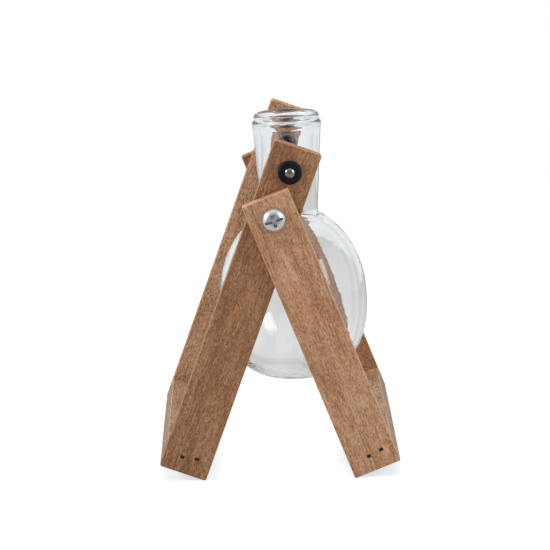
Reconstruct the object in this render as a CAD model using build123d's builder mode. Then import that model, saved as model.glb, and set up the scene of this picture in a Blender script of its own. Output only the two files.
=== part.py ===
"""A propagation vase: a round glass flask hung by its neck in a folding wooden trestle.

Two pairs of wooden legs cross and turn on a pair of screws. The longer pair carries two steel
pins near its top, with rubber bumpers that hold the neck of the flask between them.

Frame: +X to the right as the vase is seen from the front, +Y away from the viewer, +Z up.
The origin is on the table, under the middle of the stand. Lengths are in millimetres.
"""

import os
from math import acos, cos, hypot, pi, radians, sin

from build123d import *

os.makedirs("parts", exist_ok=True)

# Wooden legs and crossbars
slat_thickness = 5.5
leg_gap = 106.0
long_leg_width = 19.6
long_leg_length = 139.9
long_leg_lean = 21.6
long_leg_corner_radius = 1.0
short_leg_width = 19.6
short_leg_lean = 20.0
short_leg_corner_radius = 0.5
arris_radius = 0.35
crossbar_height = 10.0

# Pivot: a pan head screw with its nut, and a thin washer between the legs
long_leg_pivot_inset = 29.4
short_leg_pivot_inset = 9.35
washer_thickness = 0.5
washer_radius = 5.0
screw_radius = 2.5
screw_length = 16.0
screw_chamfer = 0.5
screw_head_radius = 4.75
screw_head_height = 3.1
screw_head_rim = 0.9
screw_head_crown_radius = 1.8
recess_turn = 16.0
recess_depth = 1.6
slot_width = 1.1
slot_length = 7.4
cross_width = 1.3
cross_length = 5.0
nut_across_flats = 8.0
nut_height = 4.0
nut_chamfer = 0.4
running_clearance = 0.05
seat_clearance = 0.03

# Neck pins with their rubber rings and bumpers
neck_pin_radius = 1.9
neck_pin_dome_height = 0.7
neck_pin_reach = 34.5
neck_pin_chamfer = 0.4
ring_radius = 4.7
ring_thickness = 2.4
ring_edge_radius = 0.9
ring_lip_chamfer = 0.35
ring_sweep_clearance = 0.8
sleeve_radius = 3.3
bumper_radius = 4.7
bumper_thickness = 5.0
bumper_edge_radius = 1.0
bumper_dome_height = 0.5
dimple_radius = 0.55
dimple_depth = 0.5
neck_clearance = 0.3

# Brads through the feet of the legs, two at each end of a crossbar, of oblong section
brad_width = 1.7
brad_thickness = 1.3
brad_length = 14.0
brad_sink = 0.15
brad_clearance = 0.02
long_left_brad_offset = 2.3
long_left_brad_height = 6.4
long_right_brad_offset = 3.5
long_right_brad_height = 7.4
short_left_brad_offset = 1.3
short_left_brad_height = 6.5
short_right_brad_offset = 4.2
short_right_brad_height = 7.2

# Glass flask
bulb_radius = 30.6
bulb_lower_height = 34.2
bulb_lower_fullness = 2.55
bulb_upper_height = 37.8
bulb_upper_fullness = 2.0
bulb_wall = 2.0
flask_pin_height = 61.8
neck_base_radius = 11.45
neck_base_wall = 2.5
neck_top_radius = 14.05
neck_length = 36.1
shoulder_radius = 2.0
bore_shoulder_radius = 4.0
bead_height = 2.85
bead_notch_radius = 13.1
lower_bead_radius = 14.3
upper_bead_radius = 13.6
mouth_radius = 11.2
mouth_height = 8.0
mouth_edge_radius = 1.2
outline_steps = 7

# Stand, worked out from the sizes above
long_lean = radians(long_leg_lean)
short_lean = radians(short_leg_lean)
long_leg_inner_y = leg_gap / 2
long_leg_outer_y = long_leg_inner_y + slat_thickness
short_leg_inner_y = long_leg_outer_y + washer_thickness
short_leg_outer_y = short_leg_inner_y + slat_thickness
long_leg_reach = long_leg_length - long_leg_pivot_inset
brad_hole_depth = brad_sink + brad_length - slat_thickness + brad_clearance
brad_hole = (brad_width + 2 * brad_clearance, brad_thickness + 2 * brad_clearance)


def foot_drop(width, lean, corner_radius):
    """How far the rounded lower corner of a foot lies below the end of the foot's centre line."""
    return width / 2 * sin(lean) - corner_radius * (cos(lean) + sin(lean) - 1)


long_foot_drop = foot_drop(long_leg_width, long_lean, long_leg_corner_radius)
short_foot_drop = foot_drop(short_leg_width, short_lean, short_leg_corner_radius)
pivot_z = long_leg_reach * cos(long_lean) + long_foot_drop
short_leg_reach = (pivot_z - short_foot_drop) / cos(short_lean)
short_leg_length = short_leg_reach + short_leg_pivot_inset
left_reach = long_leg_reach * sin(long_lean) + long_leg_width / 2 * cos(long_lean)
right_reach = short_leg_reach * sin(short_lean) + short_leg_width / 2 * cos(short_lean)
pivot_x = (left_reach - right_reach) / 2

# The rings clear the circle that the top corners of the short legs sweep as the stand folds
short_leg_sweep_radius = hypot(short_leg_pivot_inset, short_leg_width / 2)
neck_pin_rise = short_leg_sweep_radius + ring_sweep_clearance + ring_radius
neck_pin_x = pivot_x + neck_pin_rise * sin(long_lean)
neck_pin_z = pivot_z + neck_pin_rise * cos(long_lean)


# Planes of the legs: x across the leg, y up the leg, z towards the viewer, origin on the pivot
def long_leg_plane(y):
    across = (cos(long_lean), 0, -sin(long_lean))
    return Plane(origin=(pivot_x, y, pivot_z), x_dir=across, z_dir=(0, -1, 0))


def short_leg_plane(y):
    across = (cos(short_lean), 0, sin(short_lean))
    return Plane(origin=(pivot_x, y, pivot_z), x_dir=across, z_dir=(0, -1, 0))


# Planes for turned parts: x is the radius and y the depth
pivot_turning_plane = Plane(origin=(pivot_x, 0, pivot_z), x_dir=(1, 0, 0), z_dir=(0, 0, 1))
pivot_axis = Axis((pivot_x, 0, pivot_z), (0, 1, 0))
pin_turning_plane = Plane(origin=(neck_pin_x, 0, neck_pin_z), x_dir=(1, 0, 0), z_dir=(0, 0, 1))
pin_axis = Axis((neck_pin_x, 0, neck_pin_z), (0, 1, 0))

long_brad_spots = [
    (-long_left_brad_offset, long_left_brad_height - long_leg_reach),
    (long_right_brad_offset, long_right_brad_height - long_leg_reach),
]
short_brad_spots = [
    (-short_left_brad_offset, short_left_brad_height - short_leg_reach),
    (short_right_brad_offset, short_right_brad_height - short_leg_reach),
]


def export(part, name):
    part.label = name
    export_step(part, f"parts/{name}.step")


def export_rear_twin(front_part, name):
    """The rear piece is the front piece mirrored in the middle plane of the stand."""
    with BuildPart() as twin:
        mirror(front_part, about=Plane.XZ)
    export(twin.part, name)


# Long legs
with BuildPart() as front_long_leg:
    with BuildSketch(long_leg_plane(-long_leg_outer_y)):
        with Locations((0, (long_leg_pivot_inset - long_leg_reach) / 2)):
            Rectangle(long_leg_width, long_leg_length)
    extrude(amount=-slat_thickness)
    fillet(front_long_leg.edges().filter_by(Axis.Y), long_leg_corner_radius)
    fillet(front_long_leg.faces().sort_by(Axis.Y)[0].edges(), arris_radius)
    fillet(front_long_leg.faces().sort_by(Axis.Y)[-1].edges(), arris_radius)
    with BuildSketch(long_leg_plane(-long_leg_outer_y)):
        Circle(screw_radius + running_clearance)
        with Locations((0, neck_pin_rise)):
            Circle(neck_pin_radius + seat_clearance)
        with Locations(*long_brad_spots):
            Rectangle(*brad_hole)
    extrude(amount=-slat_thickness, mode=Mode.SUBTRACT)
export(front_long_leg.part, "front_long_leg")
export_rear_twin(front_long_leg.part, "rear_long_leg")

# Crossbar between the feet of the long legs, flush with their ends and sides
with BuildPart() as long_leg_crossbar:
    with BuildSketch(long_leg_plane(-long_leg_inner_y)) as long_crossbar_end:
        with Locations((0, crossbar_height / 2 - long_leg_reach)):
            Rectangle(long_leg_width, crossbar_height)
        fillet(long_crossbar_end.vertices().group_by(Axis.Y)[0], long_leg_corner_radius)
        fillet(long_crossbar_end.vertices().group_by(Axis.Y)[-1], arris_radius)
    extrude(amount=-leg_gap)
    with BuildSketch(long_leg_plane(-long_leg_inner_y)):
        with Locations(*long_brad_spots):
            Rectangle(*brad_hole)
    extrude(amount=-brad_hole_depth, mode=Mode.SUBTRACT)
    with BuildSketch(long_leg_plane(long_leg_inner_y)):
        with Locations(*long_brad_spots):
            Rectangle(*brad_hole)
    extrude(amount=brad_hole_depth, mode=Mode.SUBTRACT)
export(long_leg_crossbar.part, "long_leg_crossbar")

# Short legs, outside the long ones
with BuildPart() as front_short_leg:
    with BuildSketch(short_leg_plane(-short_leg_outer_y)):
        with Locations((0, (short_leg_pivot_inset - short_leg_reach) / 2)):
            Rectangle(short_leg_width, short_leg_length)
    extrude(amount=-slat_thickness)
    fillet(front_short_leg.edges().filter_by(Axis.Y), short_leg_corner_radius)
    fillet(front_short_leg.faces().sort_by(Axis.Y)[0].edges(), arris_radius)
    fillet(front_short_leg.faces().sort_by(Axis.Y)[-1].edges(), arris_radius)
    with BuildSketch(short_leg_plane(-short_leg_outer_y)):
        Circle(screw_radius + running_clearance)
        with Locations(*short_brad_spots):
            Rectangle(*brad_hole)
    extrude(amount=-slat_thickness, mode=Mode.SUBTRACT)
export(front_short_leg.part, "front_short_leg")
export_rear_twin(front_short_leg.part, "rear_short_leg")

# Crossbar between the feet of the short legs, flush with their ends and sides
with BuildPart() as short_leg_crossbar:
    with BuildSketch(short_leg_plane(-short_leg_inner_y)) as short_crossbar_end:
        with Locations((0, crossbar_height / 2 - short_leg_reach)):
            Rectangle(short_leg_width, crossbar_height)
        fillet(short_crossbar_end.vertices().group_by(Axis.Y)[0], short_leg_corner_radius)
        fillet(short_crossbar_end.vertices().group_by(Axis.Y)[-1], arris_radius)
    extrude(amount=-2 * short_leg_inner_y)
    with BuildSketch(short_leg_plane(-short_leg_inner_y)):
        with Locations(*short_brad_spots):
            Rectangle(*brad_hole)
    extrude(amount=-brad_hole_depth, mode=Mode.SUBTRACT)
    with BuildSketch(short_leg_plane(short_leg_inner_y)):
        with Locations(*short_brad_spots):
            Rectangle(*brad_hole)
    extrude(amount=brad_hole_depth, mode=Mode.SUBTRACT)
export(short_leg_crossbar.part, "short_leg_crossbar")


# Brads: one node for each frame, with two solids at the front and two at the rear
def make_brads(leg_plane, leg_outer_y, spots):
    with BuildPart() as brads:
        with BuildSketch(leg_plane(brad_sink - leg_outer_y)):
            with Locations(*spots):
                Rectangle(brad_width, brad_thickness)
        extrude(amount=-brad_length)
        mirror(about=Plane.XZ)
    return brads.part


export(make_brads(long_leg_plane, long_leg_outer_y, long_brad_spots), "long_frame_brads")
export(make_brads(short_leg_plane, short_leg_outer_y, short_brad_spots), "short_frame_brads")

# Pivot screw: its pan head has a slot and a cross in it
head_seat_y = -short_leg_outer_y
head_top_y = head_seat_y - screw_head_height
head_rim_y = head_seat_y - screw_head_rim
screw_end_y = head_seat_y + screw_length
recess_plane = Plane(origin=(pivot_x, head_top_y, pivot_z), x_dir=(1, 0, 0), z_dir=(0, -1, 0))
with BuildPart() as front_pivot_screw:
    with BuildSketch(pivot_turning_plane):
        with BuildLine():
            Line((0, head_top_y), (screw_head_crown_radius, head_top_y))
            TangentArc(
                (screw_head_crown_radius, head_top_y),
                (screw_head_radius, head_rim_y),
                tangent=(1, 0),
            )
            Polyline(
                (screw_head_radius, head_rim_y),
                (screw_head_radius, head_seat_y),
                (screw_radius, head_seat_y),
                (screw_radius, screw_end_y - screw_chamfer),
                (screw_radius - screw_chamfer, screw_end_y),
                (0, screw_end_y),
                (0, head_top_y),
            )
        make_face()
    revolve(axis=pivot_axis)
    with BuildSketch(recess_plane):
        Rectangle(slot_length, slot_width, rotation=recess_turn)
        Rectangle(cross_width, cross_length, rotation=recess_turn)
    extrude(amount=-recess_depth, mode=Mode.SUBTRACT)
export(front_pivot_screw.part, "front_pivot_screw")
export_rear_twin(front_pivot_screw.part, "rear_pivot_screw")

# Washer between the two legs that a screw joins
with BuildPart() as front_pivot_washer:
    with BuildSketch(long_leg_plane(-long_leg_outer_y)):
        Circle(washer_radius)
        Circle(screw_radius + running_clearance, mode=Mode.SUBTRACT)
    extrude(amount=washer_thickness)
export(front_pivot_washer.part, "front_pivot_washer")
export_rear_twin(front_pivot_washer.part, "rear_pivot_washer")

# Nut on the inner face of the long leg, its corners turned off at both ends
nut_corner_radius = nut_across_flats / 2 / cos(pi / 6)
nut_seat_y = -long_leg_inner_y
nut_end_y = nut_seat_y + nut_height
with BuildPart() as front_pivot_nut:
    with BuildSketch(long_leg_plane(nut_seat_y)):
        RegularPolygon(nut_corner_radius, 6)
    extrude(amount=-nut_height)
    with BuildSketch(pivot_turning_plane):
        with BuildLine():
            Polyline(
                (0, nut_seat_y),
                (nut_corner_radius - nut_chamfer, nut_seat_y),
                (nut_corner_radius, nut_seat_y + nut_chamfer),
                (nut_corner_radius, nut_end_y - nut_chamfer),
                (nut_corner_radius - nut_chamfer, nut_end_y),
                (0, nut_end_y),
                close=True,
            )
        make_face()
    revolve(axis=pivot_axis, mode=Mode.INTERSECT)
    with BuildSketch(long_leg_plane(nut_seat_y)):
        Circle(screw_radius + seat_clearance)
    extrude(amount=-nut_height, mode=Mode.SUBTRACT)
export(front_pivot_nut.part, "front_pivot_nut")
export_rear_twin(front_pivot_nut.part, "rear_pivot_nut")

# Neck pin: from the ring outside the long leg to inside the bumper
ring_seat_y = -long_leg_outer_y
ring_face_y = ring_seat_y - ring_thickness
pin_end_y = -long_leg_inner_y + neck_pin_reach
with BuildPart() as front_neck_pin:
    with BuildSketch(pin_turning_plane):
        with BuildLine():
            TangentArc(
                (0, ring_face_y - neck_pin_dome_height),
                (neck_pin_radius, ring_face_y),
                tangent=(1, 0),
            )
            Polyline(
                (neck_pin_radius, ring_face_y),
                (neck_pin_radius, pin_end_y - neck_pin_chamfer),
                (neck_pin_radius - neck_pin_chamfer, pin_end_y),
                (0, pin_end_y),
                (0, ring_face_y - neck_pin_dome_height),
            )
        make_face()
    revolve(axis=pin_axis)
export(front_neck_pin.part, "front_neck_pin")
export_rear_twin(front_neck_pin.part, "rear_neck_pin")

# Rubber ring round the outer end of a pin
pin_bore_radius = neck_pin_radius + seat_clearance
ring_flat_radius = ring_radius - ring_edge_radius
with BuildPart() as front_rubber_ring:
    with BuildSketch(pin_turning_plane):
        with BuildLine():
            Polyline(
                (ring_radius, ring_face_y + ring_edge_radius),
                (ring_radius, ring_seat_y),
                (pin_bore_radius, ring_seat_y),
                (pin_bore_radius, ring_face_y + ring_lip_chamfer),
                (pin_bore_radius + ring_lip_chamfer, ring_face_y),
                (ring_flat_radius, ring_face_y),
            )
            TangentArc(
                (ring_flat_radius, ring_face_y),
                (ring_radius, ring_face_y + ring_edge_radius),
                tangent=(1, 0),
            )
        make_face()
    revolve(axis=pin_axis)
export(front_rubber_ring.part, "front_rubber_ring")
export_rear_twin(front_rubber_ring.part, "rear_rubber_ring")


# Flask levels, up from its widest level: the neck starts where the bulb is as narrow as it
def bulb_angle(radius, fullness, at_radius):
    """The angle of the squarish quarter ellipse at which it has a given radius."""
    return acos((at_radius / radius) ** (fullness / 2))


def bulb_point(radius, height, fullness, angle):
    """A point of the outline of the bulb. A fullness of 2 is an ellipse, and more is squarer."""
    return (radius * cos(angle) ** (2 / fullness), height * sin(angle) ** (2 / fullness))


def bulb_slope(radius, height, fullness, angle):
    """The direction of that outline, upwards."""
    share = 2 / fullness
    return (
        -radius * cos(angle) ** (share - 1) * sin(angle),
        height * sin(angle) ** (share - 1) * cos(angle),
    )


neck_base_angle = bulb_angle(bulb_radius, bulb_upper_fullness, neck_base_radius)
neck_base_height = bulb_point(bulb_radius, bulb_upper_height, bulb_upper_fullness, neck_base_angle)[1]
lip_base_height = neck_base_height + neck_length
lip_top_height = lip_base_height + 2 * bead_height
neck_slope_share = (neck_top_radius - neck_base_radius) / neck_length
flask_z = neck_pin_z - flask_pin_height

# Rubber bumper: a sleeve on the pin, and a domed pad that stops just short of the neck
neck_radius_at_pin = neck_base_radius + neck_slope_share * (flask_pin_height - neck_base_height)
neck_rise_over_pad = max(0, neck_slope_share * bumper_radius - bumper_dome_height)
bumper_tip_y = -neck_radius_at_pin - neck_rise_over_pad - neck_clearance
bumper_rim_y = bumper_tip_y - bumper_dome_height
bumper_back_y = bumper_tip_y - bumper_thickness
bumper_flat_radius = bumper_radius - bumper_edge_radius
with BuildPart() as front_neck_bumper:
    with BuildSketch(pin_turning_plane):
        with BuildLine():
            TangentArc((0, bumper_tip_y), (bumper_flat_radius, bumper_rim_y), tangent=(1, 0))
            TangentArc(
                (bumper_radius, bumper_rim_y - bumper_edge_radius),
                (bumper_flat_radius, bumper_rim_y),
                tangent=(0, 1),
            )
            Polyline(
                (bumper_radius, bumper_rim_y - bumper_edge_radius),
                (bumper_radius, bumper_back_y),
                (sleeve_radius, bumper_back_y),
                (sleeve_radius, -long_leg_inner_y),
                (pin_bore_radius, -long_leg_inner_y),
                (pin_bore_radius, pin_end_y + seat_clearance),
                (0, pin_end_y + seat_clearance),
                (0, bumper_tip_y),
            )
        make_face()
    revolve(axis=pin_axis)
    with BuildSketch(pin_turning_plane):
        with BuildLine():
            Polyline(
                (0, bumper_tip_y),
                (dimple_radius, bumper_tip_y),
                (0, bumper_tip_y - dimple_depth),
                close=True,
            )
        make_face()
    revolve(axis=pin_axis, mode=Mode.SUBTRACT)
export(front_neck_bumper.part, "front_neck_bumper")
export_rear_twin(front_neck_bumper.part, "rear_neck_bumper")


# Glass flask: a bulb with a round bottom, a neck that widens upwards and a lip of two beads
def bulb_outline(wall, top_radius):
    """One curve from the lowest point of the bulb to the foot of the neck."""
    radius = bulb_radius - wall
    lower = (radius, bulb_lower_height - wall, bulb_lower_fullness)
    upper = (radius, bulb_upper_height - wall, bulb_upper_fullness)
    end_angle = bulb_angle(radius, bulb_upper_fullness, top_radius)
    points = []
    for step in range(outline_steps):
        r, z = bulb_point(*lower, pi / 2 * (1 - step / outline_steps))
        points.append((r, -z))
    for step in range(outline_steps + 1):
        points.append(bulb_point(*upper, end_angle * step / outline_steps))
    Spline(*points, tangents=[(1, 0), bulb_slope(*upper, end_angle)])
    return points[-1]


flask_plane = Plane(origin=(neck_pin_x, 0, flask_z), x_dir=(1, 0, 0), z_dir=(0, -1, 0))
flask_axis = Axis((neck_pin_x, 0, flask_z), (0, 0, 1))
lower_bead_height = lip_base_height + bead_height / 2
bead_notch_height = lip_base_height + bead_height
upper_bead_height = bead_notch_height + bead_height / 2
lip_crown_radius = upper_bead_radius - bead_height / 2
with BuildPart() as glass_flask:
    with BuildSketch(flask_plane) as flask_outline:
        with BuildLine():
            neck_foot = bulb_outline(0, neck_base_radius)
            Line(neck_foot, (neck_top_radius, lip_base_height))
            TangentArc(
                (lower_bead_radius, lower_bead_height),
                (neck_top_radius, lip_base_height),
                tangent=(0, -1),
            )
            TangentArc(
                (lower_bead_radius, lower_bead_height),
                (bead_notch_radius, bead_notch_height),
                tangent=(0, 1),
            )
            TangentArc(
                (upper_bead_radius, upper_bead_height),
                (bead_notch_radius, bead_notch_height),
                tangent=(0, -1),
            )
            TangentArc(
                (upper_bead_radius, upper_bead_height),
                (lip_crown_radius, lip_top_height),
                tangent=(0, 1),
            )
            Polyline(
                (lip_crown_radius, lip_top_height),
                (0, lip_top_height),
                (0, -bulb_lower_height),
            )
        make_face()
        fillet(flask_outline.vertices().sort_by_distance(neck_foot)[0], shoulder_radius)
    revolve(axis=flask_axis)
    with BuildSketch(flask_plane) as flask_bore:
        with BuildLine():
            bore_foot = bulb_outline(bulb_wall, neck_base_radius - neck_base_wall)
            Polyline(
                bore_foot,
                (mouth_radius, lip_top_height - mouth_height),
                (mouth_radius, lip_top_height - mouth_edge_radius),
            )
            TangentArc(
                (mouth_radius, lip_top_height - mouth_edge_radius),
                (mouth_radius + mouth_edge_radius, lip_top_height),
                tangent=(0, 1),
            )
            Polyline(
                (mouth_radius + mouth_edge_radius, lip_top_height),
                (0, lip_top_height),
                (0, bulb_wall - bulb_lower_height),
            )
        make_face()
        fillet(flask_bore.vertices().sort_by_distance(bore_foot)[0], bore_shoulder_radius)
    revolve(axis=flask_axis, mode=Mode.SUBTRACT)
export(glass_flask.part, "glass_flask")

print("pivot", pivot_x, pivot_z)
print("neck pin", neck_pin_x, neck_pin_z)
print("flask bottom", flask_z - bulb_lower_height, "top", flask_z + lip_top_height)
print("short leg length", short_leg_length)
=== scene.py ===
"""Looks for a propagation vase: a glass flask hung by its neck in a folding wooden stand.

Textures' places and sizes and the camera's lens and sensor are in millimetres. All other
lengths are in metres.
"""

from math import pi, radians

import bpy
from mathutils import Matrix, Vector


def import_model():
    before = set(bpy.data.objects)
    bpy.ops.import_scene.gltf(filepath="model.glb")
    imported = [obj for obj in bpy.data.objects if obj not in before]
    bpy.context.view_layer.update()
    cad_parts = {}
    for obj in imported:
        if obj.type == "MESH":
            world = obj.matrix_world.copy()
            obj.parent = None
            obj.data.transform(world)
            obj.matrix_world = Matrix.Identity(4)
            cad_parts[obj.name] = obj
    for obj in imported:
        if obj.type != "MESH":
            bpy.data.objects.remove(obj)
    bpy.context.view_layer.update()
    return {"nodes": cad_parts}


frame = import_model()
nodes = frame["nodes"]

# Camera of the photograph
camera_place = Vector((-0.00324, -1.21785, 0.31874))
camera_yaw = radians(0.216)
camera_pitch = radians(11.500)
camera_roll = radians(-2.354)
camera_lens = 195.78
camera_sensor = 36.0
camera_clip_start = 0.05

# Light goes round inside the thick lip many times before it leaves
most_bounces = 32
most_reflections = 24

# Lean of the grain of each pair of legs in degrees, from upright towards +X
long_leg_lean = 21.6
short_leg_lean = -20.0

# Details of the wood: twice the size across the grain, then the size along it
cloud_size = (7.0, 7.0, 26.0)
mottle_size = (1.0, 1.0, 2.2)
fibre_size = (0.36, 0.36, 1.2)
streak_size = (0.28, 0.28, 2.4)
stain_size = (5.0, 5.0, 22.0)
line_size = (0.32, 0.32, 16.0)
lined_patch_size = (7.0, 7.0, 60.0)
crack_size = (0.45, 0.45, 11.0)
pore_size = (0.55, 0.55, 1.7)

# Glass: its waves and folds, and the heights between which they change
glass_ior = 1.47
glass_tint = (0.90, 0.94, 0.96, 1.0)
glass_density = 70.0
glass_shadow = (0.93, 0.95, 0.95, 1.0)
wave_size = (14.0, 14.0, 9.0)
fold_size = (18.0, 18.0, 2.4)
neck_foot = (94.0, 100.0)
thick_bottom = (40.0, 47.0)

# Floor, and how much it glows for the camera and in the glass
floor_radius = 0.6
floor_grey = 0.55
floor_glow = 0.66
floor_glow_in_glass = 0.19

# Colours, linear
white = (1.0, 1.0, 1.0, 1.0)
cool_white = (0.95, 0.985, 1.0, 1.0)
sky_grey = (0.55, 0.55, 0.55, 1.0)
# Painted shade for the deep parts of the screw's cross and slot
recess_painted_shade = (0.24, 0.26, 0.28, 1.0)


# Small helpers for node trees
def add(tree, kind, inputs=None, **settings):
    """A new node with its settings, and with values or links on its inputs."""
    made = tree.nodes.new(kind)
    for key, value in settings.items():
        setattr(made, key, value)
    for key, value in (inputs or {}).items():
        if isinstance(value, bpy.types.NodeSocket):
            tree.links.new(value, made.inputs[key])
        else:
            made.inputs[key].default_value = value
    return made


def maths(tree, operation, *values):
    """The result of one sum on values or links."""
    return add(tree, "ShaderNodeMath", dict(enumerate(values)), operation=operation).outputs[0]


def spread(tree, value, low, high, low_out=0.0, high_out=1.0):
    """The value moved from one range to another and kept inside it."""
    inputs = {0: value, 1: low, 2: high, 3: low_out, 4: high_out}
    return add(tree, "ShaderNodeMapRange", inputs, clamp=True).outputs[0]


def mix(tree, share, first, second, blend="MIX"):
    """The first colour with a share of the second one blended in."""
    inputs = {0: share, 6: first, 7: second}
    made = add(tree, "ShaderNodeMix", inputs, data_type="RGBA", blend_type=blend)
    return made.outputs[2]


def ramp(tree, value, *stops):
    """A colour that follows the value. Each stop is a position and a colour."""
    made = add(tree, "ShaderNodeValToRGB", {0: value})
    elements = made.color_ramp.elements
    while len(elements) < len(stops):
        elements.new(1.0)
    for element, (position, colour) in zip(elements, stops):
        element.position = position
        element.color = (*colour, 1.0)
    return made.outputs[0]


def millimetres(tree, lean=0.0, shift=(0.0, 0.0, 0.0)):
    """Places on the object in millimetres, turned so that z runs along a leg of that lean."""
    place = add(tree, "ShaderNodeTexCoord").outputs["Object"]
    inputs = {"Vector": place, "Scale": (1000, 1000, 1000), "Rotation": (0, -radians(lean), 0)}
    turned = add(tree, "ShaderNodeMapping", inputs).outputs[0]
    return add(tree, "ShaderNodeVectorMath", {0: turned, 1: shift}, operation="ADD").outputs[0]


def stretched(tree, place, size):
    """Texture places for details of that size in millimetres, given for each direction."""
    scale = tuple(1 / length for length in size)
    inputs = {0: place, 1: scale}
    return add(tree, "ShaderNodeVectorMath", inputs, operation="MULTIPLY").outputs[0]


def noise(tree, place, size, detail=2.0, roughness=0.5, distortion=0.0):
    """Cloudy values round 0.5, with clouds of about that size."""
    vector = stretched(tree, place, size)
    inputs = {
        "Vector": vector,
        "Scale": 1.0,
        "Detail": detail,
        "Roughness": roughness,
        "Distortion": distortion,
    }
    return add(tree, "ShaderNodeTexNoise", inputs).outputs[0]


def spots(tree, place, size, low, high):
    """One soft-edged spot in each cell of that size: 1 inside a spot, with a random strength."""
    inputs = {"Vector": stretched(tree, place, size), "Scale": 1.0, "Randomness": 1.0}
    cells = add(tree, "ShaderNodeTexVoronoi", inputs)
    strength = add(tree, "ShaderNodeSeparateColor", {0: cells.outputs["Color"]}).outputs[0]
    shape = spread(tree, cells.outputs["Distance"], low, high, 1.0, 0.0)
    return maths(tree, "MULTIPLY", shape, spread(tree, strength, 0.0, 1.0, 0.35, 1.0))


def arrises(tree, lean):
    """1 on the rounded edges of a slat of that lean, where the surface faces between its sides: where
    the painted edge highlight goes.
    """
    facing = add(tree, "ShaderNodeTexCoord").outputs["Normal"]
    inputs = {"Vector": facing, "Rotation": (0, -radians(lean), 0)}
    turned = add(tree, "ShaderNodeMapping", inputs).outputs[0]
    parts = add(tree, "ShaderNodeSeparateXYZ", {0: turned}).outputs
    sizes = [maths(tree, "ABSOLUTE", part) for part in parts]
    most = maths(tree, "MAXIMUM", maths(tree, "MAXIMUM", sizes[0], sizes[1]), sizes[2])
    return spread(tree, most, 0.84, 0.98, 1.0, 0.0)


def material(name):
    """A new material with its node tree and its shader."""
    made = bpy.data.materials.new(name)
    made.use_nodes = True
    tree = made.node_tree
    shader = tree.nodes["Principled BSDF"]
    return made, tree, shader


def bump(tree, shader, height, depth, strength=1.0):
    """Fine relief on the surface. The depth is in metres."""
    inputs = {"Height": height, "Distance": depth, "Strength": strength}
    tree.links.new(add(tree, "ShaderNodeBump", inputs).outputs[0], shader.inputs["Normal"])


def dress(made, *names):
    """Gives the material to the named pieces."""
    for name in names:
        slots = nodes[name].material_slots
        for slot in slots:
            slot.material = made
        if not slots:
            nodes[name].data.materials.append(made)


# Materials
def wood(name, lean, shift, colours, wear, grain_along_y=False):
    """Oiled hardwood: mottles, fibres, pale streaks, stains, lines, cracks, pores, and a painted
    highlight on the rounded edges.

    More wear gives the pattern more contrast.
    """
    dark, middle, light = colours
    made, tree, shader = material(name)
    place = millimetres(tree, lean, shift)
    if grain_along_y:
        swap = add(tree, "ShaderNodeSeparateXYZ", {0: place})
        turned = {0: swap.outputs[0], 1: swap.outputs[2], 2: swap.outputs[1]}
        place = add(tree, "ShaderNodeCombineXYZ", turned).outputs[0]
    layers = (
        (noise(tree, place, cloud_size, distortion=0.5), 0.20),
        (noise(tree, place, mottle_size, detail=3.0, roughness=0.65), 0.35),
        (noise(tree, place, fibre_size, roughness=0.6), 0.45),
    )
    tone = 0.0
    for layer, share in layers:
        tone = maths(tree, "MULTIPLY_ADD", layer, share, tone)
    half_range = 0.11 / wear
    tone = spread(tree, tone, 0.5 - half_range, 0.5 + half_range)
    colour = ramp(tree, tone, (0.0, dark), (0.5, middle), (1.0, light))
    streaks = noise(tree, place, streak_size)
    pale = tuple(min(1.0, 1.35 * part) for part in light) + (1.0,)
    colour = mix(tree, spread(tree, streaks, 0.56, 0.72, 0.0, 0.55), colour, pale)
    stains = noise(tree, place, stain_size, distortion=0.4)
    warm = (1.15 * middle[0], 0.85 * middle[1], 0.60 * middle[2], 1.0)
    colour = mix(tree, spread(tree, stains, 0.52, 0.68, 0.0, 0.20), colour, warm)
    lines = noise(tree, place, line_size)
    patches = noise(tree, place, lined_patch_size, detail=1.0)
    lined = spread(tree, patches, 0.45, 0.60, 0.1, 0.7)
    shade = maths(tree, "MULTIPLY", spread(tree, lines, 0.50, 0.66), lined)
    crack_colour = tuple(0.8 * part for part in dark) + (1.0,)
    colour = mix(tree, shade, colour, crack_colour)
    cracks = noise(tree, place, crack_size)
    colour = mix(tree, spread(tree, cracks, 0.58, 0.68, 0.0, 0.5 * wear), colour, crack_colour)
    pores = spots(tree, place, pore_size, 0.10, 0.40)
    pore_colour = tuple(0.45 * part for part in dark) + (1.0,)
    colour = mix(tree, maths(tree, "MULTIPLY", pores, 0.5 * wear), colour, pore_colour)
    # Painted highlight: the rounded edges of each slat are made paler, as if they catch the light
    edge_highlight_share = spread(tree, tone, 0.0, 1.0, 0.35, 0.75)
    painted_edge_highlight = maths(tree, "MULTIPLY", arrises(tree, lean), edge_highlight_share)
    colour = mix(tree, painted_edge_highlight, colour, pale)
    tree.links.new(colour, shader.inputs["Base Color"])
    shader.inputs["Specular IOR Level"].default_value = 0.3
    rough = maths(tree, "MULTIPLY_ADD", pores, 0.2, 0.5)
    tree.links.new(rough, shader.inputs["Roughness"])
    height = maths(tree, "SUBTRACT", maths(tree, "MULTIPLY", tone, 0.5), pores)
    bump(tree, shader, height, depth=0.0001, strength=0.5)
    return made


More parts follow.
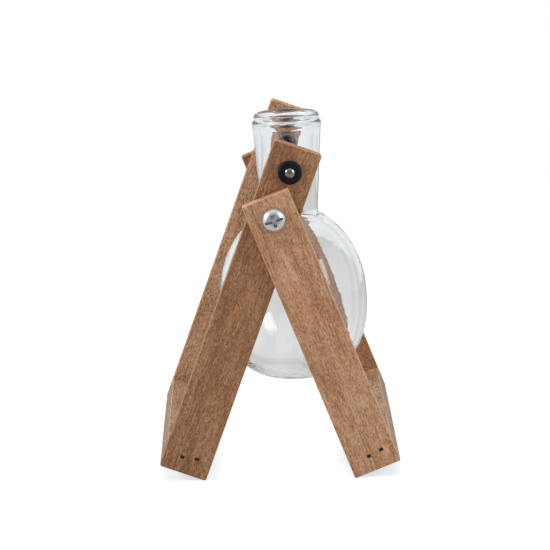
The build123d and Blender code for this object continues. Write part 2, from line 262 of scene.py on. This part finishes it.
def zinc():
    """Bright zinc plate, with painted shade where it is deep in the screw's cross and slot."""
    made, tree, shader = material("zinc_plate")
    place = millimetres(tree)
    cloudy = noise(tree, place, (1.5, 1.5, 1.5), detail=3.0)
    grain = noise(tree, place, (0.12, 0.12, 0.12))
    shader.inputs["Metallic"].default_value = 1.0
    colour = ramp(tree, cloudy, (0.3, (0.66, 0.70, 0.74)), (0.7, (0.82, 0.84, 0.86)))
    # Painted shade: the colour turns dark grey where the surface is hemmed in, deep in the screw's
    # cross and slot
    around = add(tree, "ShaderNodeAmbientOcclusion", {"Distance": 0.0015}, samples=8)
    open_sky = spread(tree, around.outputs["AO"], 0.30, 0.75)
    colour = mix(tree, open_sky, recess_painted_shade, colour)
    tree.links.new(colour, shader.inputs["Base Color"])
    tree.links.new(spread(tree, cloudy, 0.3, 0.7, 0.26, 0.36), shader.inputs["Roughness"])
    bump(tree, shader, grain, depth=0.00002, strength=0.3)
    return made


def polished_steel():
    """Polished steel with fine upright scratches."""
    made, tree, shader = material("polished_steel")
    place = millimetres(tree)
    scratches = noise(tree, place, (0.08, 0.08, 1.2))
    shader.inputs["Metallic"].default_value = 1.0
    colour = ramp(tree, scratches, (0.3, (0.22, 0.21, 0.20)), (0.7, (0.34, 0.32, 0.29)))
    tree.links.new(colour, shader.inputs["Base Color"])
    tree.links.new(spread(tree, scratches, 0.3, 0.7, 0.08, 0.18), shader.inputs["Roughness"])
    bump(tree, shader, scratches, depth=0.00001, strength=0.2)
    return made


def rubber(name, shine, roughness):
    """Black rubber, cloudy and finely grained."""
    made, tree, shader = material(name)
    place = millimetres(tree)
    grain = noise(tree, place, (0.15, 0.15, 0.15))
    cloudy = noise(tree, place, (2.0, 2.0, 2.0))
    colour = ramp(tree, cloudy, (0.3, (0.004, 0.005, 0.008)), (0.7, (0.009, 0.010, 0.014)))
    tree.links.new(colour, shader.inputs["Base Color"])
    shader.inputs["Specular IOR Level"].default_value = shine
    rough = spread(tree, cloudy, 0.3, 0.7, roughness, 1.3 * roughness)
    tree.links.new(rough, shader.inputs["Roughness"])
    bump(tree, shader, grain, depth=0.00003, strength=0.4)
    return made


def dark_steel():
    """Dark steel with a little rust, for the ends of the brads."""
    made, tree, shader = material("dark_steel")
    place = millimetres(tree)
    rust = noise(tree, place, (0.3, 0.3, 0.3), detail=3.0)
    colour = ramp(tree, rust, (0.35, (0.010, 0.009, 0.008)), (0.7, (0.035, 0.024, 0.018)))
    tree.links.new(colour, shader.inputs["Base Color"])
    shader.inputs["Metallic"].default_value = 0.4
    tree.links.new(spread(tree, rust, 0.3, 0.7, 0.45, 0.7), shader.inputs["Roughness"])
    bump(tree, shader, rust, depth=0.00005, strength=0.5)
    return made


def glass():
    """Clear glass with faint waves and, at the bottom, folds. Its shadow is a faint one."""
    made, tree, shader = material("clear_glass")
    place = millimetres(tree)
    shader.inputs["Base Color"].default_value = white
    shader.inputs["Transmission Weight"].default_value = 1.0
    shader.inputs["IOR"].default_value = glass_ior
    shader.inputs["Roughness"].default_value = 0.0
    height = add(tree, "ShaderNodeSeparateXYZ", {0: place}).outputs[2]
    waves = noise(tree, place, wave_size, detail=1.0)
    waves = maths(tree, "MULTIPLY", waves, spread(tree, height, *neck_foot, 0.5, 0.1))
    folds = noise(tree, place, fold_size)
    folds = maths(tree, "MULTIPLY", folds, spread(tree, height, *thick_bottom, 2.0, 0.0))
    bump(tree, shader, maths(tree, "ADD", waves, folds), depth=0.0002, strength=0.5)
    output = tree.nodes["Material Output"]
    shadow = add(tree, "ShaderNodeLightPath").outputs["Is Shadow Ray"]
    clear = add(tree, "ShaderNodeBsdfTransparent", {"Color": glass_shadow})
    both = {0: shadow, 1: shader.outputs[0], 2: clear.outputs[0]}
    tree.links.new(add(tree, "ShaderNodeMixShader", both).outputs[0], output.inputs["Surface"])
    absorb = {"Color": glass_tint, "Density": glass_density}
    volume = add(tree, "ShaderNodeVolumeAbsorption", absorb)
    tree.links.new(volume.outputs[0], output.inputs["Volume"])
    return made


# Each slat's wood: its dark, middle and light tones, a place of its own in the grain and its wear
brown = ((0.200, 0.085, 0.036), (0.340, 0.162, 0.080), (0.480, 0.260, 0.140))
orange = ((0.300, 0.132, 0.064), (0.515, 0.278, 0.150), (0.660, 0.400, 0.245))
tan = ((0.250, 0.112, 0.052), (0.420, 0.225, 0.122), (0.580, 0.345, 0.205))
faded = ((0.240, 0.125, 0.068), (0.400, 0.245, 0.155), (0.560, 0.370, 0.250))
dress(wood("front_long_leg_wood", long_leg_lean, (3, 11, 40), brown, 1.3), "front_long_leg")
dress(wood("rear_long_leg_wood", long_leg_lean, (31, 5, 90), tan, 1.8), "rear_long_leg")
dress(wood("long_crossbar_wood", long_leg_lean, (13, 25, 10), faded, 2.6, True), "long_leg_crossbar")
dress(wood("front_short_leg_wood", short_leg_lean, (57, 17, 20), orange, 1.15), "front_short_leg")
dress(wood("rear_short_leg_wood", short_leg_lean, (71, 35, 60), brown, 1.6), "rear_short_leg")
dress(wood("short_crossbar_wood", short_leg_lean, (83, 45, 70), faded, 2.6, True), "short_leg_crossbar")
sides = ("front", "rear")
zinc_parts = ("pivot_screw", "pivot_washer", "pivot_nut")
dress(zinc(), *(f"{side}_{part}" for side in sides for part in zinc_parts))
dress(polished_steel(), "front_neck_pin", "rear_neck_pin")
dress(rubber("ring_rubber", 0.15, 0.45), "front_rubber_ring", "rear_rubber_ring")
dress(rubber("bumper_rubber", 0.4, 0.22), "front_neck_bumper", "rear_neck_bumper")
dress(dark_steel(), "long_frame_brads", "short_frame_brads")
dress(glass(), "glass_flask")


# Floor
def floor():
    """A pale disc that looks white and keeps the shadow of the stand."""
    bpy.ops.mesh.primitive_circle_add(vertices=96, radius=floor_radius, fill_type="NGON")
    disc = bpy.context.object
    disc.name = "floor"
    made, tree, shader = material("pale_floor")
    shader.inputs["Base Color"].default_value = (floor_grey, floor_grey, floor_grey, 1.0)
    shader.inputs["Roughness"].default_value = 1.0
    shader.inputs["Specular IOR Level"].default_value = 0.0
    rays = add(tree, "ShaderNodeLightPath")
    glow = maths(tree, "MULTIPLY", rays.outputs["Is Camera Ray"], floor_glow)
    in_glass = rays.outputs["Is Transmission Ray"]
    glow = maths(tree, "MULTIPLY_ADD", in_glass, floor_glow_in_glass, glow)
    tree.links.new(glow, shader.inputs["Emission Strength"])
    shader.inputs["Emission Color"].default_value = cool_white
    disc.data.materials.append(made)


floor()


# World
def world():
    """White where the camera sees it, and greyer in glass and metal and where it lights the object.

    In glass and metal the side of the camera is the darker one, as in a photographer's studio.
    """
    made = bpy.data.worlds.new("studio")
    bpy.context.scene.world = made
    made.use_nodes = True
    tree = made.node_tree
    background = tree.nodes["Background"]
    rays = add(tree, "ShaderNodeLightPath")
    direction = add(tree, "ShaderNodeTexCoord").outputs["Generated"]
    parts = add(tree, "ShaderNodeSeparateXYZ", {0: direction}).outputs
    mirrored = spread(tree, parts[1], -0.95, -0.4, 0.25, 0.85)
    level = mix(tree, rays.outputs["Is Glossy Ray"], sky_grey, mirrored)
    through_glass = spread(tree, parts[2], 0.10, 0.5, 0.86, 1.0)
    away_from_camera = spread(tree, parts[1], -0.97, -0.75, 0.2, 1.0)
    through_glass = maths(tree, "MULTIPLY", through_glass, away_from_camera)
    through_glass = mix(tree, 1.0, through_glass, cool_white, "MULTIPLY")
    level = mix(tree, rays.outputs["Is Transmission Ray"], level, through_glass)
    level = mix(tree, rays.outputs["Is Camera Ray"], level, white)
    tree.links.new(level, background.inputs["Color"])


world()


# Lamps
def softbox(name, place, size, power, mirrored=True):
    """A square or oblong lamp that faces the middle of the object."""
    lamp = bpy.data.lights.new(name, "AREA")
    lamp.shape = "RECTANGLE"
    lamp.size, lamp.size_y = size
    lamp.energy = power
    box = bpy.data.objects.new(name, lamp)
    box.location = place
    aim = Vector(object_middle) - Vector(place)
    box.rotation_euler = aim.to_track_quat("-Z", "Y").to_euler()
    box.visible_camera = False
    box.visible_glossy = mirrored
    box.visible_transmission = mirrored
    bpy.context.scene.collection.objects.link(box)


object_middle = (0.0, 0.0, 0.08)
softbox("top_light", (0.0, 0.05, 0.65), (0.5, 0.5), 1.55, mirrored=False)
softbox("left_light", (-0.56, -0.28, 0.41), (0.22, 0.31), 1.80)
softbox("right_light", (0.47, -0.38, 0.31), (0.22, 0.31), 0.95)


# Camera
def camera():
    view = bpy.data.cameras.new("camera")
    view.lens = camera_lens
    view.sensor_width = camera_sensor
    view.clip_start = camera_clip_start
    stand = bpy.data.objects.new("camera", view)
    bpy.context.scene.collection.objects.link(stand)
    aim = Matrix.Rotation(-camera_yaw, 4, "Z") @ Matrix.Rotation(pi / 2 - camera_pitch, 4, "X")
    placed = Matrix.Translation(camera_place) @ aim
    stand.matrix_world = placed @ Matrix.Rotation(camera_roll, 4, "Z")
    bpy.context.scene.camera = stand


camera()
bpy.context.scene.view_settings.view_transform = "Standard"
paths = bpy.context.scene.cycles
paths.max_bounces = most_bounces
paths.transmission_bounces = most_bounces
paths.glossy_bounces = most_reflections
